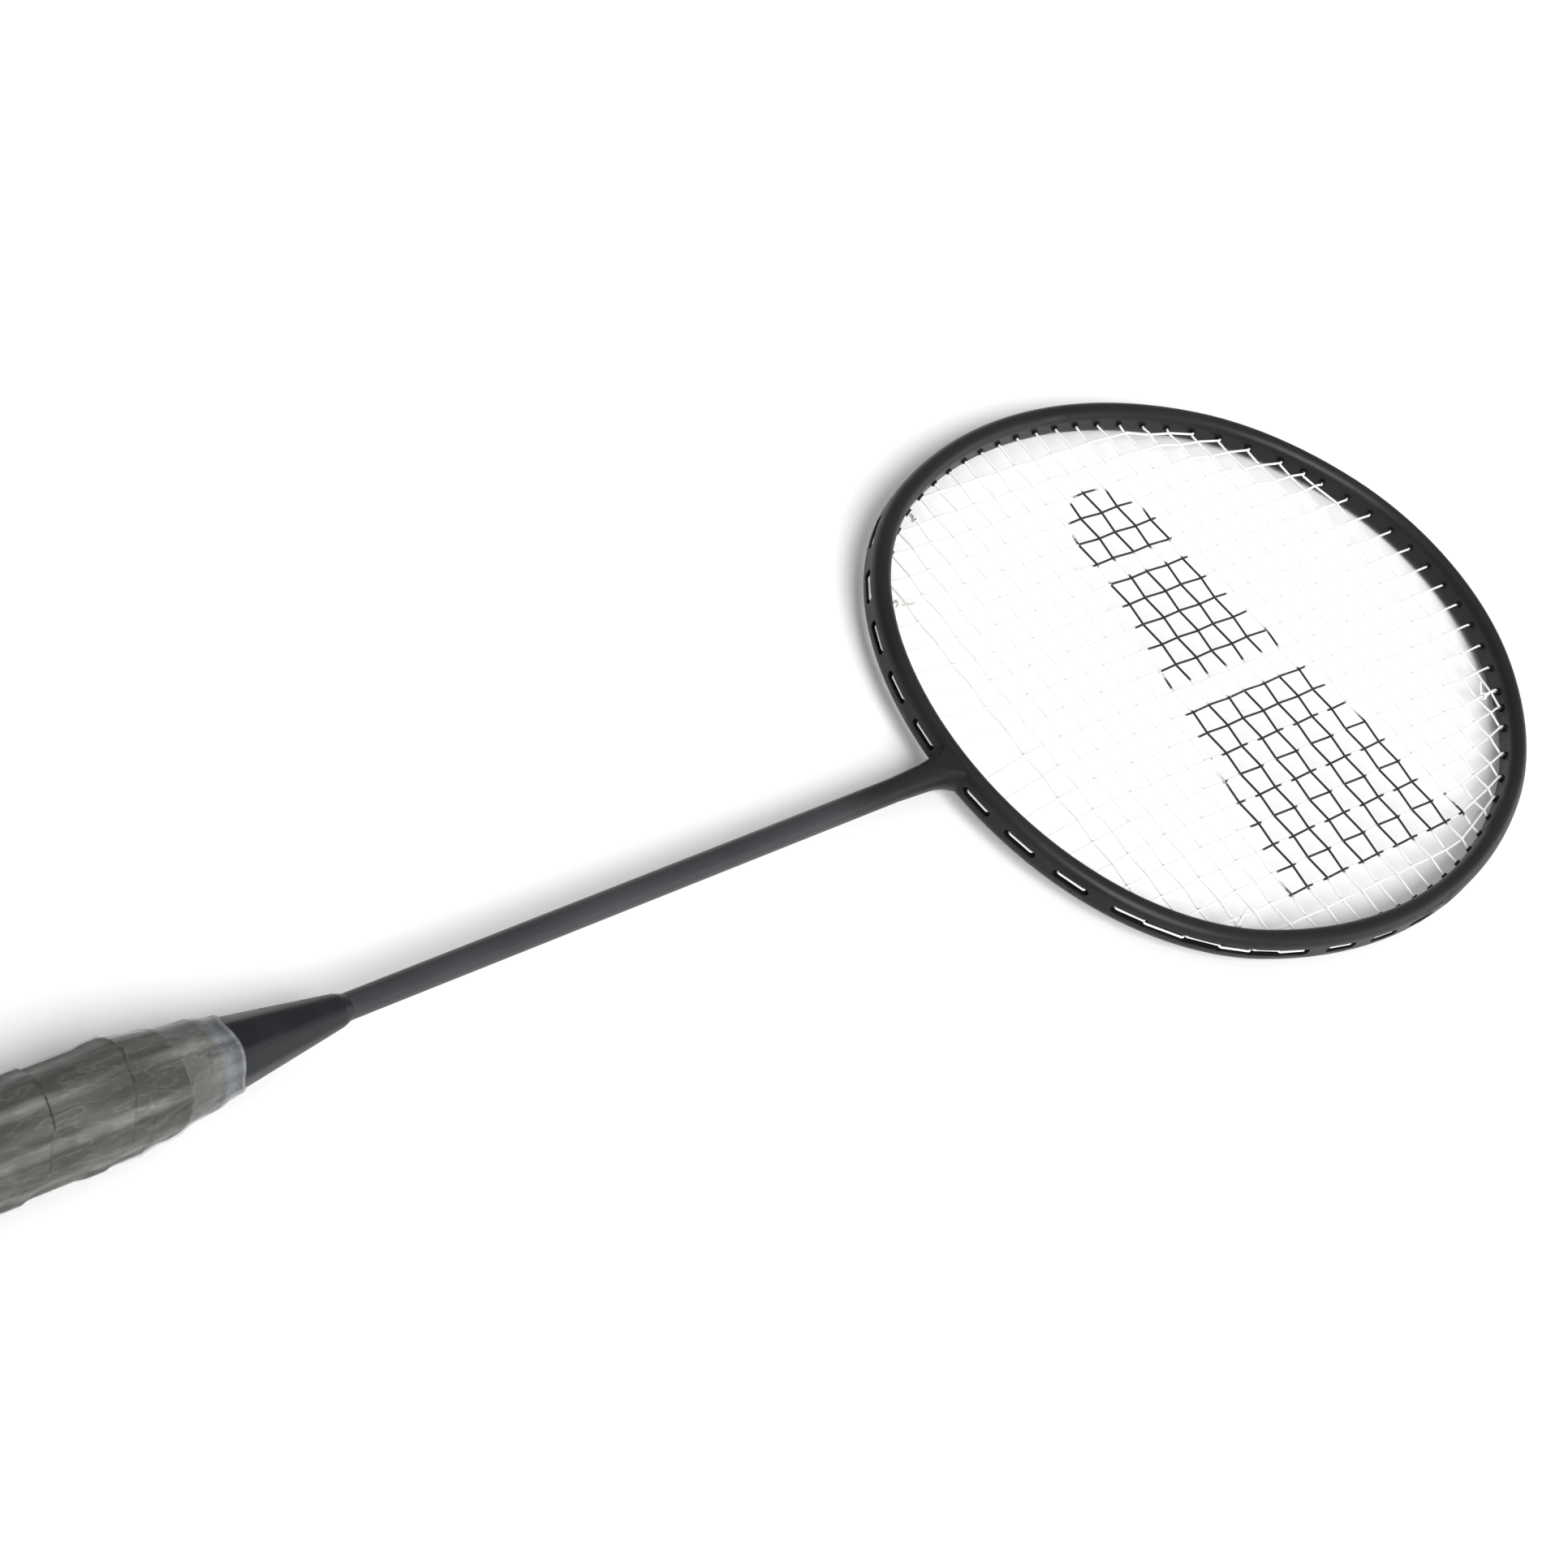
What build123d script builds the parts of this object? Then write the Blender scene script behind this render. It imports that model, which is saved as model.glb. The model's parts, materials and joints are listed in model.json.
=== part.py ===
from build123d import *
import math
import os

# Badminton racket.  Millimetres.  Origin: centre of the butt face.  +Y runs from the butt to the tip
# of the head, +X is to the right and +Z is square to the string bed, which lies in the plane Z = 0.

# --- overall sizes ---
racket_length = 675.0
head_width = 200.0
widest_y = 544.0

# --- hoop: tube section and the tangent arcs of its centre line ---
tube_width = 6.2
tube_height = 10.0
cavity_width = 2.8
cavity_height = 7.4
cavity_inset = 0.7
half_width = (head_width - tube_width) / 2
upper_half_length = racket_length - widest_y - tube_width / 2
lower_half_length = 116.0
tip_arc_radius = 75.7
tip_arc_end = 30.6
upper_shoulder_end = 62.8
throat_arc_radius = 97.8
throat_arc_end = 19.1
lower_shoulder_end = 68.9
throat_y = widest_y - lower_half_length
throat_face_y = throat_y - tube_width / 2

# --- strings ---
string_diameter = 0.7
first_main = -1
last_main = 20
centre_main = 9.5
main_pitch = 8.006
first_cross = -6
last_cross = 16
cross_zero_y = 508.77
cross_pitch = 8.957
weave_rise = 0.41
weave_bend_radius = 4.0
hole_bend_radius = 0.8
pull_length = 30.0
edge_margin = 2.0
knot_distance = 2.4
far_knot_distance = 6.6
knot_ring_radius = 0.85
knot_ring_step = 0.8
knot_tail_length = 5.0
knot_tail_way = (0.6, 0.4, 0.9)
tail_hump = 1.16
tail_gap = 1.1
least_turn = 1e-3
longest_arc_share = 0.45

# --- string pattern ---
# Holes that take a main and a cross, by the main's rank from its own edge of the string bed.
throat_shared = {2: -6, 1: -5, 0: -4, -1: -2}
tip_shared = {-1: 12, 0: 13, 1: 14, 2: 15, 3: 16}
main_tie_cross = -3
cross_start_main = 3
cross_end_main = 15
top_corner_drop = 3.2
top_corner_main = 14
# First cross of each zone of side grommets, and the first one past it.
zones = {"lower_shoulder": (-6, -1), "side": (-1, 12), "upper_shoulder": (12, 17)}

# --- string holes and grommets, radial places measured from the tube's centre line, outwards + ---
lip = -3.9
slot_floor = 1.5
flange_top = 2.0
run_level = 2.4
inner_turn = -4.3
pair_offset = 0.42
throat_splay = 3.9
splay_fade = 0.96
single_grommet = {"barrel": 2.0, "bore": 1.3, "flange": 2.4}
shared_grommet = {"barrel": 2.5, "bore": 1.7, "flange": 3.0}
grommet_clearance = 0.1
slot_width = 2.6
slot_cut_depth = 4.0
angle_slack = 1e-6

# --- shaft, throat joint and cone ---
shaft_diameter = 7.0
shaft_bore = 5.0
shaft_start_y = 72.0
shaft_end_y = 402.0
joint_waist_y = 414.0
joint_waist_radius = 3.95
joint_right_reach = 6.6
joint_left_reach = 5.6
joint_left_side = 4.0
joint_left_corner_y = 422.4
joint_height = 8.6
joint_lead_in = 0.04
joint_overlap = 0.6
insert_clearance = 0.05
insert_length = 26.0
insert_half_angle = 2.8
cone_base_y = 126.0
cone_base_radius = 13.3
cone_middle_y = 161.0
cone_middle_radius = 9.15
cone_front_y = 194.5
cone_front_radius = 4.45
collar_end_y = 197.2
collar_end_radius = 3.62
cone_wall = 1.2
cone_bore_y = 184.0
fit_gap = 0.03

# --- handle and its wraps ---
handle_sides = 8
handle_flats = 24.4
butt_flats = 28.4
flare_end_y = 24.0
flare_start_y = 8.0
cap_thickness = 2.5
core_front_y = 150.0
tack_sink = 0.4
tack_end_y = 11.0
tack_diameter = 1.3
tack_head_diameter = 3.4
tack_head_thickness = 0.6
tack_spread = 8.0
staple_wire = 0.6
staple_width = 7.0
staple_leg = 5.0
staple_y = 6.0
grip_thickness = 1.3
grip_start_y = 1.0
grip_front_y = 139.0
grip_front_thickness = 0.9
grip_step_y = 127.0
finish_tape_end_y = 152.0
finish_tape_thickness = 0.45
film_thickness = 0.25
film_start_y = 3.0
film_end_y = 157.0
end_band_start_y = 148.5
end_band_end_y = 160.2
end_band_thickness = 0.35
end_band_step = 0.6

os.makedirs("parts", exist_ok=True)


def save(node, *solids):
    """Write one node: a lone solid, or a group of separate solids."""
    shape = solids[0] if len(solids) == 1 else Compound(children=list(solids))
    export_step(shape, f"parts/{node}.step")


# ---------------------------------------------------------------- hoop centre line
def quarter_arcs(half_length, first_radius, first_end, second_end):
    """Three tangent arcs from an end of the oval round to its widest point.

    Angles are turned from the end's axis.  The two later radii follow from the half width and length.
    """
    s1, c1 = math.sin(math.radians(first_end)), math.cos(math.radians(first_end))
    s2, c2 = math.sin(math.radians(second_end)), math.cos(math.radians(second_end))
    across = half_width - first_radius * s1
    along = half_length - first_radius * (1 - c1)
    determinant = (s2 - s1) * c2 - (1 - s2) * (c1 - c2)
    second_radius = (across * c2 - (1 - s2) * along) / determinant
    third_radius = ((s2 - s1) * along - (c1 - c2) * across) / determinant
    radii = [first_radius, second_radius, third_radius]
    ends = [0.0, first_end, second_end, 90.0]
    centre_x, centre_y = 0.0, half_length - first_radius
    arcs = []
    for index, radius in enumerate(radii):
        if index:
            step = radii[index - 1] - radius
            centre_x += step * math.sin(math.radians(ends[index]))
            centre_y += step * math.cos(math.radians(ends[index]))
        arcs.append((centre_x, centre_y, radius, ends[index], ends[index + 1]))
    return arcs


def hoop_arcs():
    """Arcs of the right half as (centre x, centre y, radius, start, end), angles from +Y towards +X."""
    upper = quarter_arcs(upper_half_length, tip_arc_radius, tip_arc_end, upper_shoulder_end)
    lower = quarter_arcs(lower_half_length, throat_arc_radius, throat_arc_end, lower_shoulder_end)
    arcs = [(x, widest_y + y, radius, start, end) for x, y, radius, start, end in upper]
    for x, y, radius, start, end in reversed(lower):
        arcs.append((x, widest_y - y, radius, 180.0 - end, 180.0 - start))
    return arcs


ARCS = hoop_arcs()


class Hole:
    """A string hole, square to the hoop, found from where its inner lip lies."""

    def __init__(self, x=None, y=None, side=1, upper=True, shared=False):
        self.side = side
        self.shared = shared
        for centre_x, centre_y, radius, start, end in ARCS:
            if y is None:
                angle = math.degrees(math.asin((abs(x) - centre_x) / (radius + lip)))
                angle = angle if upper else 180.0 - angle
            else:
                ratio = (y - centre_y) / (radius + lip)
                if abs(ratio) > 1:
                    continue
                angle = math.degrees(math.acos(ratio))
            if start - angle_slack <= angle <= end + angle_slack:
                self.centre = (centre_x, centre_y)
                self.radius = radius
                self.angle = math.radians(angle)
                break

    def normal(self):
        return Vector(self.side * math.sin(self.angle), math.cos(self.angle), 0)

    def at(self, radial, z=0.0):
        reach = self.radius + radial
        x = self.side * (self.centre[0] + reach * math.sin(self.angle))
        return Vector(x, self.centre[1] + reach * math.cos(self.angle), z)

    def plane(self, radial):
        return Plane(origin=self.at(radial), x_dir=(0, 0, 1), z_dir=self.normal())

    def sizes(self):
        return shared_grommet if self.shared else single_grommet


# ---------------------------------------------------------------- holes of the string pattern
def main_x(main):
    return (main - centre_main) * main_pitch


def cross_y(cross):
    return cross_zero_y + cross * cross_pitch


MAINS = range(first_main, last_main + 1)
CROSSES = range(first_cross, last_cross + 1)
SIDES = (-1, 1)
side_names = {-1: "left", 1: "right"}


def from_edge(main):
    """Rank of a main counted from its own side of the hoop, the outermost being -1."""
    return main if main < centre_main else last_main + first_main - main


def side_of(main):
    return -1 if main < centre_main else 1


def make_cross_holes():
    holes = {}
    for cross in CROSSES:
        paired = cross in throat_shared.values() or cross in tip_shared.values()
        y = cross_y(cross) - (top_corner_drop if cross == last_cross else 0.0)
        for side in SIDES:
            holes[cross, side] = Hole(y=y, side=side, shared=paired or cross == main_tie_cross)
    return holes


CROSS_HOLES = make_cross_holes()


def top_hole(main):
    rank, side = from_edge(main), side_of(main)
    if rank in tip_shared:
        return CROSS_HOLES[tip_shared[rank], side]
    return Hole(x=abs(main_x(main)), side=side, upper=True, shared=main == cross_end_main)


def bottom_hole(main):
    rank, side = from_edge(main), side_of(main)
    if rank in throat_shared:
        return CROSS_HOLES[throat_shared[rank], side]
    x = throat_splay + splay_fade * abs(main_x(main))
    return Hole(x=x, side=side, upper=False, shared=main == cross_start_main)


TOP_HOLES = {main: top_hole(main) for main in MAINS}
BOTTOM_HOLES = {main: bottom_hole(main) for main in MAINS}
SWAPPED_HOLES = [CROSS_HOLES[last_cross, 1], TOP_HOLES[cross_end_main]]


# ---------------------------------------------------------------- string routes
def main_x_at(main, y):
    """A main runs straight, and its last stretch leans to the hole at each end."""
    x = main_x(main)
    for hole, way in ((TOP_HOLES[main], 1), (BOTTOM_HOLES[main], -1)):
        end = hole.at(lip)
        reach = pull_length - (end.Y - y) * way
        if reach > 0:
            x += (end.X - main_x(main)) * min(reach / pull_length, 1.0)
    return x


def cross_y_at(cross, x):
    """A cross is straight, but the last one droops to its holes beyond the mains it still meets."""
    corner = main_x(top_corner_main)
    if cross != last_cross or abs(x) < corner:
        return cross_y(cross)
    reach = abs(CROSS_HOLES[last_cross, 1].at(lip).X) - corner
    return cross_y(cross) - top_corner_drop * (abs(x) - corner) / reach


def crossing(main, cross):
    """Place where a main and a cross pass, without its height."""
    y = cross_y_at(cross, main_x(main))
    return Vector(main_x_at(main, y), y, 0)


def crossings_of_main(main):
    lowest = BOTTOM_HOLES[main].at(lip).Y + edge_margin
    highest = TOP_HOLES[main].at(lip).Y - edge_margin
    return [cross for cross in CROSSES if lowest < crossing(main, cross).Y < highest]


def weave_z(main, cross):
    """Height of the main at a crossing; the cross takes the opposite."""
    return weave_rise if (main + cross) % 2 == 0 else -weave_rise


def main_points(main, upwards):
    """Crossing points of one main, in order, each with its bend radius."""
    points = []
    for cross in crossings_of_main(main):
        point = crossing(main, cross) + Vector(0, 0, weave_z(main, cross))
        points.append((point, weave_bend_radius))
    return points if upwards else points[::-1]


def cross_points(cross, rightwards):
    points = []
    for main in MAINS:
        if cross in crossings_of_main(main):
            point = crossing(main, cross) - Vector(0, 0, weave_z(main, cross))
            points.append((point, weave_bend_radius))
    return points if rightwards else points[::-1]


def main_z(hole):
    """Sideways place of a main in its hole, beside the other string of a shared one."""
    if not hole.shared:
        return 0.0
    return -pair_offset if hole in SWAPPED_HOLES else pair_offset


def cross_z(hole):
    return -main_z(hole)


def through(hole, z, outwards):
    """Inner and outer turn of a string at a hole."""
    points = [(hole.at(inner_turn, z), hole_bend_radius), (hole.at(run_level, z), hole_bend_radius)]
    return points if outwards else points[::-1]


class Tie:
    """Where a string's end comes back in through a hole and is knotted round the string there."""

    def __init__(self, hole, host_z, host_points, distance):
        inner = hole.at(inner_turn, host_z)
        start, share = inner, distance
        for point, _ in host_points:
            run = point - start
            if share < run.length:
                break
            share -= run.length
            start = point
        rise = Vector(0, 0, math.copysign(knot_ring_radius, -host_z))
        self.direction = run.normalized()
        self.knot = start + self.direction * share
        self.tail = through(hole, -host_z, True)[::-1]
        if start != inner:
            self.tail.append((Vector(start.X, start.Y, tail_hump), hole_bend_radius))
        self.tail.append((self.knot + rise - self.direction * (tail_gap * string_diameter), 0.0))


def make_ties():
    """Left and right end of the main string, then start and end of the cross string."""
    ties = []
    for side in SIDES:
        hole = CROSS_HOLES[main_tie_cross, side]
        host = cross_points(main_tie_cross, side < 0)
        ties.append(Tie(hole, cross_z(hole), host, knot_distance))
    hole = BOTTOM_HOLES[cross_start_main]
    ties.append(Tie(hole, main_z(hole), main_points(cross_start_main, True), knot_distance))
    hole = TOP_HOLES[cross_end_main]
    ties.append(Tie(hole, main_z(hole), main_points(cross_end_main, False), far_knot_distance))
    return ties


TIES = make_ties()


def make_knot(tie):
    """Two turns round the held string and a short cut end that stands off it."""
    wire_radius = string_diameter / 2
    step = tie.direction * (knot_ring_step * wire_radius)
    rings = None
    for centre in (tie.knot - step, tie.knot + step):
        ring = Plane(origin=centre, z_dir=tie.direction) * Torus(knot_ring_radius, wire_radius)
        rings = ring if rings is None else rings + ring
    side = tie.direction.cross(Vector(0, 0, 1)).normalized()
    start = tie.knot + step + side * knot_ring_radius
    aside, ahead, upwards = knot_tail_way
    way = (side * aside + tie.direction * ahead + Vector(0, 0, upwards)).normalized()
    return rings + extrude(Plane(origin=start, z_dir=way) * Circle(wire_radius), knot_tail_length)


def main_route():
    points = TIES[0].tail[::-1]
    for main in MAINS:
        upwards = (main - first_main) % 2 == 0
        start, end = BOTTOM_HOLES[main], TOP_HOLES[main]
        if not upwards:
            start, end = end, start
        points += through(start, main_z(start), False)
        points += main_points(main, upwards)
        points += through(end, main_z(end), True)
    return points + TIES[1].tail


def cross_route():
    points = TIES[2].tail[::-1]
    for cross in CROSSES:
        rightwards = (cross - first_cross) % 2 == 0
        first, second = CROSS_HOLES[cross, -1], CROSS_HOLES[cross, 1]
        if not rightwards:
            first, second = second, first
        points += through(first, cross_z(first), False)
        points += cross_points(cross, rightwards)
        points += through(second, cross_z(second), True)
    return points + TIES[3].tail


def string_wire(route):
    """Straight runs joined by tangent arcs, one arc at each point of the route, and the arcs' radii."""
    edges, radii = [], []
    start = route[0][0]
    for index in range(1, len(route) - 1):
        before, (corner, radius), after = route[index - 1][0], route[index], route[index + 1][0]
        into, out = (corner - before).normalized(), (after - corner).normalized()
        turn = math.acos(max(-1.0, min(1.0, into.dot(out))))
        if turn < least_turn:
            continue
        shorter_run = min((corner - before).length, (after - corner).length)
        tangent = min(radius * math.tan(turn / 2), longest_arc_share * shorter_run)
        arc_start, arc_end = corner - into * tangent, corner + out * tangent
        inwards = (out - into).normalized()
        real_radius = tangent / math.tan(turn / 2)
        middle = corner + inwards * (real_radius * (1 / math.cos(turn / 2) - 1))
        radii.append(real_radius)
        edges.append(Edge.make_line(start, arc_start))
        edges.append(Edge.make_three_point_arc(arc_start, middle, arc_end))
        start = arc_end
    edges.append(Edge.make_line(start, route[-1][0]))
    return Wire(edges), radii


def make_string(route):
    wire, radii = string_wire(route)
    section = Plane(origin=wire @ 0, z_dir=wire % 0) * Circle(string_diameter / 2)
    solid = sweep(section, path=wire)
    expected = math.pi * string_diameter**2 / 4 * wire.length
    print(f"string: length {wire.length:.0f}, volume {solid.volume:.1f}, section x length {expected:.1f}")
    print(f"string: {len(radii)} bends, radii {min(radii):.2f} to {max(radii):.2f}")
    return solid


# ---------------------------------------------------------------- hoop
def swept_ring(width, height, inset, side, arcs, start_trim=0.0, end_trim=0.0):
    """A rounded section turned round each arc of one half of the hoop."""
    solid = None
    for centre_x, centre_y, radius, start, end in arcs:
        section = Plane.XZ * Pos(centre_x + radius - inset, 0) * SlotOverall(height, width, rotation=90)
        section = Pos(0, centre_y, 0) * section
        axis = Axis((centre_x, centre_y, 0), (0, 0, 1))
        sweep_angle = end - start - start_trim - end_trim
        piece = revolve(section, axis=axis, revolution_arc=sweep_angle)
        piece = piece.rotate(axis, 90.0 - end + end_trim)
        solid = piece if solid is None else solid + piece
    return solid if side > 0 else mirror(solid, about=Plane.YZ)


def full_ring(width, height, inset=0.0):
    return swept_ring(width, height, inset, 1, ARCS) + swept_ring(width, height, inset, -1, ARCS)


def slot_between(first, second):
    """Recess in the outer face that takes the string between two holes."""
    start, end = first.at(slot_floor), second.at(slot_floor)
    along = end - start
    outwards = along.cross(Vector(0, 0, 1)).normalized()
    if outwards.dot(first.normal()) < 0:
        outwards = -outwards
    face = Plane(origin=(start + end) / 2, x_dir=along.normalized(), z_dir=outwards)
    return extrude(face * SlotCenterToCenter(along.length, slot_width), slot_cut_depth)


def slot_pairs():
    """Neighbouring holes with string between them on the outside of the hoop."""
    pairs = [(BOTTOM_HOLES[main], BOTTOM_HOLES[main + 1]) for main in range(first_main + 1, last_main, 2)]
    pairs += [(TOP_HOLES[main], TOP_HOLES[main + 1]) for main in range(first_main, last_main, 2)]
    for cross in range(first_cross, last_cross):
        side = 1 if (cross - first_cross) % 2 == 0 else -1
        pairs.append((CROSS_HOLES[cross, side], CROSS_HOLES[cross + 1, side]))
    pairs.append((CROSS_HOLES[main_tie_cross, 1], CROSS_HOLES[main_tie_cross + 1, 1]))
    return {frozenset(pair): pair for pair in pairs}.values()


ALL_HOLES = list(dict.fromkeys(
    list(CROSS_HOLES.values()) + list(TOP_HOLES.values()) + list(BOTTOM_HOLES.values())
))


def hole_cutter(hole):
    sizes = hole.sizes()
    barrel = Circle((sizes["barrel"] + grommet_clearance) / 2)
    flange = Circle((sizes["flange"] + grommet_clearance) / 2)
    through_tube = extrude(hole.plane(lip) * barrel, slot_floor - lip)
    return through_tube + extrude(hole.plane(slot_floor) * flange, slot_cut_depth)


def make_grommet(hole):
    sizes = hole.sizes()
    barrel = extrude(hole.plane(lip) * Circle(sizes["barrel"] / 2), flange_top - lip)
    flange = extrude(hole.plane(slot_floor) * Circle(sizes["flange"] / 2), flange_top - slot_floor)
    bore = extrude(hole.plane(lip) * Circle(sizes["bore"] / 2), flange_top - lip)
    return barrel + flange - bore


# ---------------------------------------------------------------- throat joint
def cross_plane(y, x=0.0):
    """Plane square to the handle's axis."""
    return Plane(origin=(x, y, 0), x_dir=(1, 0, 0), z_dir=(0, 1, 0))


def rod_along_y(diameter, start, end, x=0.0):
    return extrude(cross_plane(start, x) * Circle(diameter / 2), end - start)


def make_joint_cover(hoop_outer, slots):
    """Moulded flare from the shaft to the hoop's outer face, wide on the right and tight on the left."""
    start, waist, end = shaft_end_y, joint_waist_y, throat_y
    reach = joint_right_reach
    flare_start = Vector(joint_waist_radius, waist, 0)
    flare_end = Vector(reach, throat_face_y + joint_overlap, 0)
    profile = Wire([
        Edge.make_line((shaft_bore / 2, start, 0), (shaft_diameter / 2, start, 0)),
        Edge.make_line((shaft_diameter / 2, start, 0), flare_start),
        Edge.make_tangent_arc(flare_start, Vector(joint_lead_in, 1, 0), flare_end),
        Edge.make_line(flare_end, (reach, end, 0)),
        Edge.make_line((reach, end, 0), (shaft_bore / 2, end, 0)),
        Edge.make_line((shaft_bore / 2, end, 0), (shaft_bore / 2, start, 0)),
    ])
    flare = revolve(Face(profile), axis=Axis.Y)
    envelope = extrude(cross_plane(start) * SlotOverall(3 * reach, joint_height), end - start)
    outline = Face(Wire.make_polygon([
        (-joint_left_side, start, 0),
        (-joint_left_side, joint_left_corner_y, 0),
        (-joint_left_reach, throat_face_y + joint_overlap, 0),
        (-joint_left_reach, end, 0),
        (reach, end, 0),
        (reach, start, 0),
    ]))
    cover = flare & envelope & extrude(outline, joint_height, both=True)
    return (cover - hoop_outer - slots).solids().sort_by(SortBy.VOLUME)[-1]


def make_joint_insert():
    """Internal T: a stem inside the shaft and a plug across the hoop's cavity."""
    stem_start = shaft_end_y - insert_length
    centre_x, centre_y, radius, _, _ = ARCS[-1]
    width, height = cavity_width - 2 * insert_clearance, cavity_height - 2 * insert_clearance
    section = Plane.XZ * Pos(radius - cavity_inset, 0) * SlotOverall(height, width, rotation=90)
    axis = Axis((centre_x, centre_y, 0), (0, 0, 1))
    plug = revolve(Pos(0, centre_y, 0) * section, axis=axis, revolution_arc=2 * insert_half_angle)
    plug = plug.rotate(axis, -90.0 - insert_half_angle)
    stem = rod_along_y(shaft_bore - 2 * insert_clearance, stem_start, throat_y)
    return plug + stem


# ---------------------------------------------------------------- shaft, cone and handle
def make_shaft():
    tube = rod_along_y(shaft_diameter, shaft_start_y, shaft_end_y)
    return tube - rod_along_y(shaft_bore, shaft_start_y, shaft_end_y)


def turned(points):
    """Solid of revolution about Y from (radius, y) points."""
    corners = [(radius, y, 0) for radius, y in points]
    return revolve(Face(Wire.make_polygon(corners)), axis=Axis.Y)


def cone_radius(y):
    """Outer radius of the cone, in two straight tapers."""
    if y < cone_middle_y:
        share = (y - cone_base_y) / (cone_middle_y - cone_base_y)
        return cone_base_radius + share * (cone_middle_radius - cone_base_radius)
    share = (y - cone_middle_y) / (cone_front_y - cone_middle_y)
    return cone_middle_radius + share * (cone_front_radius - cone_middle_radius)


def make_cone_cap():
    bore = shaft_diameter / 2 + fit_gap
    return turned([
        (cone_radius(cone_base_y), cone_base_y),
        (cone_radius(cone_middle_y), cone_middle_y),
        (cone_radius(cone_front_y), cone_front_y),
        (collar_end_radius, collar_end_y),
        (bore, collar_end_y),
        (bore, cone_bore_y),
        (cone_radius(cone_middle_y) - cone_wall, cone_middle_y),
        (cone_radius(cone_base_y) - cone_wall, cone_base_y),
    ])


def octagon(flats, y):
    outline = RegularPolygon(flats / 2, handle_sides, major_radius=False, rotation=180 / handle_sides)
    return cross_plane(y) * outline


def octagon_prism(flats, start, end):
    return extrude(octagon(flats, start), end - start)


def octagon_handle(extra, start, end):
    """Octagonal handle shape with its flared butt; extra is added all round."""
    wide, narrow = butt_flats + 2 * extra, handle_flats + 2 * extra
    butt = octagon_prism(wide, start, flare_start_y)
    flare = loft([octagon(wide, flare_start_y), octagon(narrow, flare_end_y)])
    return butt + flare + octagon_prism(narrow, flare_end_y, end)


def cone_sleeve(start, end, inner_gap, thickness):
    """Thin sleeve that lies on the cone."""
    stations = [start] + [y for y in (cone_middle_y,) if start < y < end] + [end]
    outer = [(cone_radius(y) + inner_gap + thickness, y) for y in stations]
    inner = [(cone_radius(y) + inner_gap, y) for y in reversed(stations)]
    return turned(outer + inner)


def make_tacks(grow=0.0):
    """Two small nails through the butt cap into the handle, heads sunk below the face."""
    tacks = []
    for side in SIDES:
        x = side * tack_spread
        shank = rod_along_y(tack_diameter + 2 * grow, tack_sink, tack_end_y, x)
        head = rod_along_y(tack_head_diameter + 2 * grow, tack_sink, tack_sink + tack_head_thickness, x)
        tacks.append(shank + head)
    return tacks


def make_staple():
    """Wire staple that pins the start of the grip tape to the butt's upper flat."""
    surface = butt_flats / 2
    crown = Pos(0, staple_y, surface + staple_wire / 2) * Box(staple_width, staple_wire, staple_wire)
    for side in SIDES:
        x = side * (staple_width - staple_wire) / 2
        crown += Pos(x, staple_y, surface - staple_leg / 2) * Box(staple_wire, staple_wire, staple_leg)
    return crown


def make_handle_core():
    core = octagon_handle(0.0, cap_thickness, cone_base_y)
    front_gap = cone_wall + fit_gap
    core += turned([
        (0, cone_base_y),
        (cone_radius(cone_base_y) - front_gap, cone_base_y),
        (cone_radius(core_front_y) - front_gap, core_front_y),
        (0, core_front_y),
    ])
    return core - rod_along_y(shaft_diameter + 2 * fit_gap, shaft_start_y, core_front_y)


# ---------------------------------------------------------------- wraps of the grip
def wrapped_shape(extra):
    """Outside of the handle with its grip tape and finishing tape on, grown by extra."""
    shape = octagon_handle(grip_thickness + extra, film_start_y - extra, grip_step_y + extra)
    grip_cover = cone_wall + grip_front_thickness + extra
    shape += cone_sleeve(cone_base_y, grip_front_y + extra, -cone_wall, grip_cover)
    tape_cover = cone_wall + finish_tape_thickness + extra
    shape += cone_sleeve(grip_front_y, finish_tape_end_y + extra, -cone_wall, tape_cover)
    return shape + cone_sleeve(finish_tape_end_y, film_end_y, -cone_wall, cone_wall + extra)


def handle_solid():
    """Bare handle and cone without any bore, for what lies on them."""
    radii = [(cone_radius(y), y) for y in (cone_base_y, cone_middle_y, cone_front_y)]
    return octagon_handle(0.0, 0.0, cone_base_y) + turned([(0, cone_base_y), *radii, (0, cone_front_y)])


def make_grip_tape(inside):
    tape = octagon_handle(grip_thickness, grip_start_y, grip_step_y)
    tape += cone_sleeve(cone_base_y, grip_front_y, 0.0, grip_front_thickness)
    for solid in inside:
        tape -= solid
    return tape


def make_film(inside):
    film = wrapped_shape(film_thickness) & octagon_prism(2 * butt_flats, film_start_y, film_end_y)
    film -= wrapped_shape(0.0)
    for solid in inside:
        film -= solid
    return film


def make_end_band(inside):
    """Adhesive band over the ends of the finishing tape and the film, stepping down to the cone."""
    on_cone = end_band_thickness
    on_film = on_cone + film_thickness
    on_tape = on_film + finish_tape_thickness
    outer = [
        (on_tape, end_band_start_y),
        (on_tape, finish_tape_end_y + end_band_step),
        (on_film, finish_tape_end_y + 2 * end_band_step),
        (on_film, film_end_y + end_band_step),
        (on_cone, film_end_y + 2 * end_band_step),
        (on_cone, end_band_end_y),
    ]
    points = [(cone_radius(y) + height, y) for height, y in outer]
    band = turned(points + [(cone_radius(y), y) for y in (end_band_end_y, end_band_start_y)])
    for solid in inside:
        band -= solid
    return band


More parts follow.
